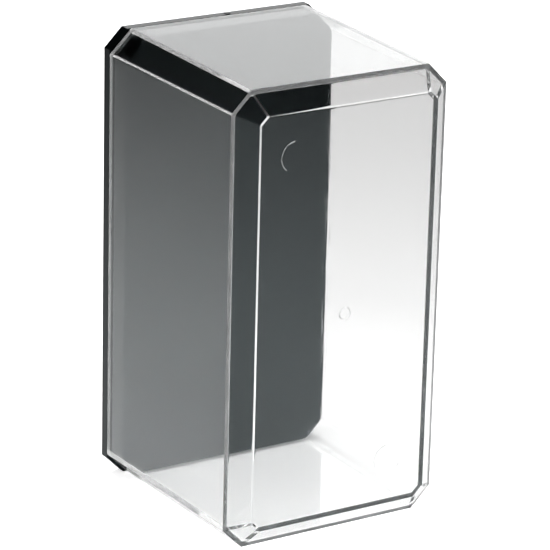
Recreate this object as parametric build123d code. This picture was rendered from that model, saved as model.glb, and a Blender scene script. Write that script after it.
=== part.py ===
"""Upright clear case on a black back plate, for a stack of tall-fold napkins.

Two mouldings: a clear cover, open at the back, and a back plate whose raised
plinth plugs into it. Millimetres, +Z up, the front faces -Y.

Both are drawn about the case's own axis, with y = 0 where the cover's rim
meets the flange. They are then tipped by the draft angle, which is how the
case stands: its underside is level, and the origin is at the bottom centre of
its bounding box.
"""

from build123d import *
import os
from math import radians, sqrt, tan

# Cover, outside
FRONT_WIDTH = 100.0        # where the walls meet the front bevel
FRONT_HEIGHT = 192.0
WALL_DEPTH = 93.5          # from the rim to the front bevel
DRAFT = 1.0                # degrees, on every long wall, wider to the rear
CORNER_LEG = 8.8           # 45 degree corners, where the walls meet the bevel
BEVEL_INSET = 9.0          # front bevel, across the front
BEVEL_DEPTH = 8.0          # front bevel, along the depth

# Cover, wall and edges
WALL = 3.0
RIM_GAP = 0.1              # air line between the rim and the flange
OUTER_EDGE_R = 1.2
INNER_EDGE_R = 1.0

# Witness marks in the cover's front wall
GATE_RING_R = 2.5          # ring groove left by the gate: outside, in the centre
GATE_RING_DEPTH = 0.2
GATE_GROOVE_R = 0.3
VALVE_DISC_R = 6.5         # low discs left by the air valves: inside, at two opposite corners
VALVE_DISC_STEP = 0.08
VALVE_DISC_FLANK = 20.0    # degrees
VALVE_DISC_X = 24.0
VALVE_DISC_Z = 68.25

# Back plate
FLANGE_THICKNESS = 4.8
FLANGE_CORNER_LEG = 7.0    # shorter than the cover's, so the flange shows as a ledge there
FLANGE_EDGE_R = 0.4
PLINTH_HEIGHT = 11.2
PLINTH_CLEARANCE = 0.1     # all round, inside the cover
PLINTH_CORNER_R = 4.0
PLINTH_EDGE_R = 0.6
PLATE_WALL = 2.4
RIB_THICKNESS = 1.6
RIB_SETBACK = 0.5          # the ribs stop short of the rear face
CROSS_RIBS = 2

# Trimmed edge gate on the flange's top side
VESTIGE_X = 5.0
VESTIGE_WIDTH = 1.8
VESTIGE_DEPTH = 2.2
VESTIGE_HEIGHT = 0.3

FRONT_Y = -(WALL_DEPTH + BEVEL_DEPTH)
PLINTH_INSET = WALL + PLINTH_CLEARANCE
LEG_PER_INSET = 2 - sqrt(2)    # how fast a 45 degree corner shortens inwards


def section_plane(y):
    """Plane across the case at depth y, facing the front, with its own y up."""
    return Plane(origin=(0, y, 0), x_dir=(1, 0, 0), z_dir=(0, -1, 0))


def drafted_block(rear_y, front_y, inset=0.0, corner_r=0.0, corner_leg=CORNER_LEG):
    """Solid octagonal block with drafted sides.

    Its sides lie inset inside the cover's outer walls, so two blocks with the
    same inset and corner leg are flush, whatever their depths.
    """
    width = FRONT_WIDTH - 2 * inset
    height = FRONT_HEIGHT - 2 * inset
    leg = corner_leg - inset * LEG_PER_INSET
    octagon = chamfer(Rectangle(width, height).vertices(), leg)
    if corner_r:
        octagon = fillet(octagon.vertices(), corner_r)
    block = extrude(section_plane(rear_y) * octagon, rear_y - front_y)
    sides = block.faces() - block.faces().filter_by(Axis.Y)
    return draft(sides, section_plane(-WALL_DEPTH), DRAFT)


def edges_off_plane(edges, y):
    """Those edges that do not lie in the cross-section at depth y."""
    return edges.filter_by(lambda edge: abs(edge.bounding_box().min.Y - y) > RIM_GAP / 2)


def gate_ring():
    """Round-bottomed ring groove in the middle of the front's outer face."""
    tube_y = FRONT_Y + GATE_RING_DEPTH - GATE_GROOVE_R
    return section_plane(tube_y) * Torus(GATE_RING_R, GATE_GROOVE_R)


def valve_discs():
    """Low discs with sloped flanks on the front's inner face, upper left and lower right."""
    flank = VALVE_DISC_STEP / tan(radians(VALVE_DISC_FLANK))
    disc = Cone(VALVE_DISC_R - flank, VALVE_DISC_R, VALVE_DISC_STEP)
    middle = section_plane(FRONT_Y + WALL + VALVE_DISC_STEP / 2)
    spots = [Pos(-VALVE_DISC_X, VALVE_DISC_Z), Pos(VALVE_DISC_X, -VALVE_DISC_Z)]
    return [middle * spot * disc for spot in spots]


def make_cover():
    """Clear cover: front, bevel and eight drafted walls, open at the back."""
    block = drafted_block(-RIM_GAP, FRONT_Y)
    front = block.faces().sort_by(Axis.Y)[0]
    block = chamfer(front.edges(), BEVEL_INSET, BEVEL_DEPTH, reference=front)
    rear = block.faces().sort_by(Axis.Y)[-1]
    shell = offset(block, amount=-WALL, openings=rear)

    inner_edges = edges_off_plane(shell.edges() - block.edges(), -RIM_GAP)
    outer_edges = edges_off_plane(shell.edges() - inner_edges, -RIM_GAP)
    shell = fillet(outer_edges, OUTER_EDGE_R)
    shell = fillet(inner_edges, INNER_EDGE_R)

    return shell - gate_ring() + valve_discs()


def ribs(pocket):
    """One upright rib and evenly spaced cross ribs, filling the pocket's section."""
    size = pocket.bounding_box().size
    centre = pocket.bounding_box().center()
    upright = Box(RIB_THICKNESS, size.Y, size.Z)
    cross = Box(size.X, size.Y, RIB_THICKNESS)
    pitch = size.Z / (CROSS_RIBS + 1)
    rows = [(row - (CROSS_RIBS - 1) / 2) * pitch for row in range(CROSS_RIBS)]
    grid = upright + [Pos(Z=row) * cross for row in rows]
    return Pos(Y=centre.Y - RIB_SETBACK) * grid & pocket


def gate_vestige():
    """Stub of the edge gate, standing on the middle of the flange's top side."""
    top_z = FRONT_HEIGHT / 2 + (WALL_DEPTH + FLANGE_THICKNESS / 2) * tan(radians(DRAFT))
    stub = Box(VESTIGE_WIDTH, VESTIGE_DEPTH, 2 * VESTIGE_HEIGHT)
    return Pos(VESTIGE_X, FLANGE_THICKNESS / 2, top_z) * stub


def make_back_plate():
    """Back plate: flange and plinth, cored out and ribbed from behind."""
    flange = drafted_block(FLANGE_THICKNESS, 0, corner_leg=FLANGE_CORNER_LEG)
    flange = fillet(flange.edges(), FLANGE_EDGE_R)
    plinth = drafted_block(0, -PLINTH_HEIGHT, PLINTH_INSET, PLINTH_CORNER_R)
    plinth = fillet(plinth.faces().sort_by(Axis.Y)[0].edges(), PLINTH_EDGE_R)
    pocket = drafted_block(
        FLANGE_THICKNESS,
        PLATE_WALL - PLINTH_HEIGHT,
        PLINTH_INSET + PLATE_WALL,
        PLINTH_CORNER_R - PLATE_WALL,
    )
    return flange + plinth + gate_vestige() - (pocket - ribs(pocket))


def stand_up(pieces):
    """Tip the case onto its drafted underside and put the origin below its middle."""
    tipped = [Rot(X=DRAFT) * piece for piece in pieces]
    box = Compound(tipped).bounding_box()
    to_origin = Pos(-box.center().X, -box.center().Y, -box.min.Z)
    return [to_origin * piece for piece in tipped]


if __name__ == "__main__":
    os.makedirs("parts", exist_ok=True)
    names = ["clear_cover", "back_plate"]
    pieces = stand_up([make_cover(), make_back_plate()])
    for name, piece in zip(names, pieces):
        export_step(piece, f"parts/{name}.step")
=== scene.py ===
import math

import bpy
from mathutils import Matrix, Vector

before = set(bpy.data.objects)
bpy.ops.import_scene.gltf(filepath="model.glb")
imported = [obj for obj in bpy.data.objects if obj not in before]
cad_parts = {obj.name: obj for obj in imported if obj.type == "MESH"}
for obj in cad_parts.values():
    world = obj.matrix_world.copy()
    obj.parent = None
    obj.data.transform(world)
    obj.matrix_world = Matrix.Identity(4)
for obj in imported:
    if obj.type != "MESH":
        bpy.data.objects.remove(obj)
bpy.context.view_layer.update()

# Camera: where it stands round the case, and what it looks at, in metres and degrees
CAMERA_AZIMUTH = -31.79
CAMERA_ELEVATION = 18.73
CAMERA_ROLL = 0.88
CAMERA_DISTANCE = 1.374
CAMERA_TARGET = (0.0191, 0.0309, 0.0839)
CAMERA_LENS_MM = 212.6
CAMERA_CLIP = (0.05, 50.0)
SENSOR_MM = 36.0

# Studio floor
FLOOR_HALF = 8.0
FLOOR_GAP = 0.0002        # how far the floor lies below the case
FLOOR_ALBEDO = 0.85
FLOOR_ROUGHNESS = 0.95
FLOOR_LIFT = 0.8          # extra light of the floor where the camera sees it directly
PAINTED_LIGHT_POOL = 0.22               # painted pool of light: the floor itself glows below the case and to its right
PAINTED_LIGHT_POOL_CENTRE = (0.05, 0.03, 0)
PAINTED_LIGHT_POOL_RADIUS = (0.07, 0.2)    # full inside the first, none outside the second

# Studio wall and ceiling
WALL_RADIANCE = 0.28
WALL_TOP = 20.0           # degrees above the horizon, fading over the next WALL_FADE
WALL_FADE = 6.0
CEILING_RADIANCE = 0.004
BACKGROUND_RADIANCE = 1.0    # where the camera sees past the floor

# Where the lamps stand: azimuth and elevation, in degrees
OVERHEAD = (0, 90)
BEHIND_LOW = (180 + CAMERA_AZIMUTH, 17)
BEHIND_HIGH = (180 + CAMERA_AZIMUTH, 60)

# Light goes round many times inside a clear wall
MAX_BOUNCES = 96

# The case leans forward by its draft angle, so its rim faces this way
TILT = math.radians(1.0)
REARWARD = (0, math.cos(TILT), math.sin(TILT))
RIM_DEPTH = 0.0498        # from the middle of the case to the rim's end face, less a hair
RIM_ROUGHNESS = 0.5

# Clear styrene
CLEAR_COLOR = (0.985, 0.99, 0.99, 1)
CLEAR_IOR = 1.49
CLEAR_SHEEN = (0.82, 0.92, 0.94, 1)    # the cool cast of its reflections
CLEAR_HAZE = 0.012        # roughness where it has been rubbed most
CLEAR_RUBBED = (0.5, 0.8)    # patch noise where the rubbing starts and where it is full
CLEAR_RIPPLE = 0.000012   # metres, sink and flow of the moulded walls
CLEAR_HAIRLINE_TURNS = ((14, 63, 0), (74, -21, 0))    # degrees

# Black styrene
BLACK_COLOR = (0.0006, 0.001, 0.0011, 1)
BLACK_DUST_COLOR = (0.012, 0.013, 0.013, 1)
BLACK_SHEEN = (0.75, 0.94, 1.0, 1)    # the cool cast of its reflections
BLACK_IOR = 1.30
BLACK_GLOSS = (0.1, 0.18)    # roughness from the shiniest to the dullest patches
BLACK_PATCHES = (0.3, 0.7)    # patch noise at the shiniest and at the dullest
BLACK_RIPPLE = 0.00002
BLACK_HAIRLINE_TURNS = ((8, 78, 0), (81, 12, 0))

# Marks of use, on both
RIPPLE_SCALE = 22.0       # noise cells per metre
PATCH_SCALE = 38.0
PATCH_DETAIL = 4.0
HAIRLINE_ACROSS = 2600.0    # noise cells per metre across the scratches
HAIRLINE_ALONG = 24.0     # and along them
HAIRLINE_SHARE = (0.70, 0.74)    # noise where a scratch starts and where it is deepest
HAIRLINE_DEPTH = 0.000001
DUST_SCALE = 1500.0       # cells per metre, one speck in each
DUST_SHARE = (0.055, 0.03)    # in cell widths: a speck's edge and its full core


def direction(azimuth, elevation):
    """Unit vector from the case towards a viewer at that azimuth and elevation."""
    a, e = math.radians(azimuth), math.radians(elevation)
    return Vector((math.sin(a) * math.cos(e), -math.cos(a) * math.cos(e), math.sin(e)))


def add_camera():
    data = bpy.data.cameras.new("camera")
    data.lens = CAMERA_LENS_MM
    data.sensor_width = SENSOR_MM
    data.clip_start, data.clip_end = CAMERA_CLIP
    camera = bpy.data.objects.new("camera", data)
    bpy.context.scene.collection.objects.link(camera)
    back = direction(CAMERA_AZIMUTH, CAMERA_ELEVATION)
    level = (-back).to_track_quat("-Z", "Y")
    roll = Matrix.Rotation(math.radians(CAMERA_ROLL), 4, "Z").to_quaternion()
    camera.rotation_mode = "QUATERNION"
    camera.rotation_quaternion = level @ roll
    camera.location = Vector(CAMERA_TARGET) + back * CAMERA_DISTANCE
    bpy.context.scene.camera = camera


def softbox(name, place, distance, size, radiance, aim=(0, 0, 0.1)):
    """Rectangular area light, at that azimuth, elevation and distance from its aim."""
    data = bpy.data.lights.new(name, "AREA")
    data.shape = "RECTANGLE"
    data.size, data.size_y = size
    data.energy = radiance * math.pi * size[0] * size[1]
    lamp = bpy.data.objects.new(name, data)
    bpy.context.scene.collection.objects.link(lamp)
    back = direction(*place)
    lamp.location = Vector(aim) + back * distance
    lamp.rotation_mode = "QUATERNION"
    lamp.rotation_quaternion = (-back).to_track_quat("-Z", "Y")
    lamp.visible_camera = False
    return lamp


class Shader:
    """A new material and short ways to wire its nodes. Values may be numbers or sockets."""

    def __init__(self, name):
        self.material = bpy.data.materials.new(name)
        self.material.use_nodes = True
        self.nodes = self.material.node_tree.nodes
        self.links = self.material.node_tree.links
        self.surface = self.nodes["Principled BSDF"].inputs
        self.place = self.nodes.new("ShaderNodeTexCoord").outputs["Object"]

    def feed(self, socket, value):
        if isinstance(value, bpy.types.NodeSocket):
            self.links.new(value, socket)
        else:
            socket.default_value = value

    def math(self, operation, a, b=0.0):
        node = self.nodes.new("ShaderNodeMath")
        node.operation = operation
        self.feed(node.inputs[0], a)
        self.feed(node.inputs[1], b)
        return node.outputs[0]

    def along(self, axis):
        node = self.nodes.new("ShaderNodeVectorMath")
        node.operation = "DOT_PRODUCT"
        node.inputs[1].default_value = axis
        self.feed(node.inputs[0], self.place)
        return node.outputs["Value"]

    def distance_from(self, centre):
        node = self.nodes.new("ShaderNodeVectorMath")
        node.operation = "DISTANCE"
        node.inputs[1].default_value = centre
        self.feed(node.inputs[0], self.place)
        return node.outputs["Value"]

    def remap(self, value, source, target):
        node = self.nodes.new("ShaderNodeMapRange")
        for name, pair in (("From", source), ("To", target)):
            node.inputs[name + " Min"].default_value = pair[0]
            node.inputs[name + " Max"].default_value = pair[1]
        self.feed(node.inputs["Value"], value)
        return node.outputs["Result"]

    def noise(self, scale, detail=2.0, place=None):
        node = self.nodes.new("ShaderNodeTexNoise")
        node.inputs["Scale"].default_value = scale
        node.inputs["Detail"].default_value = detail
        self.feed(node.inputs["Vector"], place or self.place)
        return node.outputs["Fac"]

    def hairlines(self, turn):
        """Long thin scratches that all run one way, from 0 to 1."""
        node = self.nodes.new("ShaderNodeMapping")
        node.inputs["Rotation"].default_value = [math.radians(angle) for angle in turn]
        node.inputs["Scale"].default_value = (HAIRLINE_ACROSS, HAIRLINE_ACROSS, HAIRLINE_ALONG)
        self.feed(node.inputs["Vector"], self.place)
        lines = self.noise(1.0, 0.0, node.outputs["Vector"])
        return self.remap(lines, HAIRLINE_SHARE, (0.0, 1.0))

    def crossed_hairlines(self, turns):
        """Two runs of hairlines, one over the other."""
        first, second = [self.hairlines(turn) for turn in turns]
        return self.math("MAXIMUM", first, second)

    def dust(self):
        """Fine specks, each inside its own cell, from 0 to 1."""
        node = self.nodes.new("ShaderNodeTexVoronoi")
        node.inputs["Scale"].default_value = DUST_SCALE
        self.feed(node.inputs["Vector"], self.place)
        return self.remap(node.outputs["Distance"], DUST_SHARE, (0.0, 1.0))

    def bump(self, height, distance, normal=None):
        node = self.nodes.new("ShaderNodeBump")
        node.inputs["Distance"].default_value = distance
        self.feed(node.inputs["Height"], height)
        if normal is not None:
            self.feed(node.inputs["Normal"], normal)
        return node.outputs["Normal"]


def clear_plastic():
    """Water-clear styrene: polished, faintly rippled, lightly rubbed, with a matt rim."""
    look = Shader("clear_plastic")
    look.feed(look.surface["Base Color"], CLEAR_COLOR)
    look.feed(look.surface["Transmission Weight"], 1.0)
    look.feed(look.surface["IOR"], CLEAR_IOR)
    look.feed(look.surface["Specular Tint"], CLEAR_SHEEN)
    rubbed = look.remap(look.noise(PATCH_SCALE, PATCH_DETAIL), CLEAR_RUBBED, (0.0, CLEAR_HAZE))
    at_rim = look.math("GREATER_THAN", look.along(REARWARD), RIM_DEPTH)
    frosted = look.math("MULTIPLY", at_rim, RIM_ROUGHNESS)
    look.feed(look.surface["Roughness"], look.math("MAXIMUM", rubbed, frosted))
    ripple = look.bump(look.noise(RIPPLE_SCALE), CLEAR_RIPPLE)
    scratches = look.crossed_hairlines(CLEAR_HAIRLINE_TURNS)
    look.feed(look.surface["Normal"], look.bump(scratches, HAIRLINE_DEPTH, ripple))
    return look.material


def black_plastic():
    """Black gloss styrene: patches a little duller than others, hairlines and fine dust."""
    look = Shader("black_plastic")
    look.feed(look.surface["IOR"], BLACK_IOR)
    look.feed(look.surface["Specular Tint"], BLACK_SHEEN)
    colour = look.nodes.new("ShaderNodeMix")
    colour.data_type = "RGBA"
    look.feed(colour.inputs["Factor"], look.dust())
    look.feed(colour.inputs["A"], BLACK_COLOR)
    look.feed(colour.inputs["B"], BLACK_DUST_COLOR)
    look.feed(look.surface["Base Color"], colour.outputs["Result"])
    patches = look.noise(PATCH_SCALE, PATCH_DETAIL)
    look.feed(look.surface["Roughness"], look.remap(patches, BLACK_PATCHES, BLACK_GLOSS))
    scratches = look.crossed_hairlines(BLACK_HAIRLINE_TURNS)
    ripple = look.bump(look.noise(RIPPLE_SCALE), BLACK_RIPPLE)
    look.feed(look.surface["Normal"], look.bump(scratches, HAIRLINE_DEPTH, ripple))
    return look.material


def paint(node, material):
    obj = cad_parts[node]
    for index in range(len(obj.data.materials)):
        obj.data.materials[index] = material


def add_floor():
    """Pale floor with a painted pool of light, glowing below the case. Seen directly it is
    near white, as in a cut-out picture.
    """
    mesh = bpy.data.meshes.new("floor")
    corners = [(-1, -1, 0), (1, -1, 0), (1, 1, 0), (-1, 1, 0)]
    vertices = [[FLOOR_HALF * value for value in corner] for corner in corners]
    mesh.from_pydata(vertices, [], [(0, 1, 2, 3)])
    floor = bpy.data.objects.new("floor", mesh)
    bpy.context.scene.collection.objects.link(floor)
    floor.location.z = -FLOOR_GAP
    look = Shader("floor_paper")
    look.feed(look.surface["Base Color"], (*[FLOOR_ALBEDO] * 3, 1))
    look.feed(look.surface["Roughness"], FLOOR_ROUGHNESS)
    look.feed(look.surface["Specular IOR Level"], 0.0)
    look.feed(look.surface["Emission Color"], (1, 1, 1, 1))
    path = look.nodes.new("ShaderNodeLightPath")
    lift = look.math("MULTIPLY", path.outputs["Is Camera Ray"], FLOOR_LIFT)
    # painted pool of light: the floor emits round a point below the case, fading outwards
    painted_light_pool = look.remap(look.distance_from(PAINTED_LIGHT_POOL_CENTRE), PAINTED_LIGHT_POOL_RADIUS, (PAINTED_LIGHT_POOL, 0.0))
    look.feed(look.surface["Emission Strength"], look.math("MAXIMUM", lift, painted_light_pool))
    floor.data.materials.append(look.material)


def add_world():
    """Dark studio with a pale wall all round it, up to WALL_TOP degrees above the horizon."""
    world = bpy.data.worlds.new("studio")
    bpy.context.scene.world = world
    world.use_nodes = True
    nodes, links = world.node_tree.nodes, world.node_tree.links
    background = nodes["Background"]
    coordinates = nodes.new("ShaderNodeTexCoord")
    split = nodes.new("ShaderNodeSeparateXYZ")
    ramp = nodes.new("ShaderNodeMapRange")
    ramp.interpolation_type = "SMOOTHSTEP"
    ramp.inputs["From Min"].default_value = math.sin(math.radians(WALL_TOP))
    ramp.inputs["From Max"].default_value = math.sin(math.radians(WALL_TOP + WALL_FADE))
    ramp.inputs["To Min"].default_value = WALL_RADIANCE
    ramp.inputs["To Max"].default_value = CEILING_RADIANCE
    links.new(coordinates.outputs["Generated"], split.inputs[0])
    links.new(split.outputs["Z"], ramp.inputs["Value"])
    path = nodes.new("ShaderNodeLightPath")
    seen = nodes.new("ShaderNodeMix")
    links.new(path.outputs["Is Camera Ray"], seen.inputs["Factor"])
    links.new(ramp.outputs["Result"], seen.inputs["A"])
    seen.inputs["B"].default_value = BACKGROUND_RADIANCE
    links.new(seen.outputs["Result"], background.inputs["Strength"])
    background.inputs["Color"].default_value = (1, 1, 1, 1)


add_camera()
add_floor()
add_world()
softbox("overhead", OVERHEAD, 0.65, (0.45, 0.45), 6.4, aim=(0.0, 0.08, 0))
softbox("overhead_front", OVERHEAD, 0.65, (0.45, 0.45), 4.0, aim=(-0.1, -0.12, 0))
softbox("backdrop", BEHIND_LOW, 1.3, (0.9, 0.45), 1.2)
wash = softbox("floor_wash", BEHIND_HIGH, 0.8, (0.4, 0.4), 5.3, aim=(0.32, 0.45, 0))
wash.visible_glossy = False
wash.visible_transmission = False
paint("clear_cover", clear_plastic())
paint("back_plate", black_plastic())

scene = bpy.context.scene
scene.view_settings.view_transform = "Standard"
scene.cycles.blur_glossy = 0.0
scene.cycles.max_bounces = MAX_BOUNCES
scene.cycles.transmission_bounces = MAX_BOUNCES
scene.cycles.glossy_bounces = MAX_BOUNCES
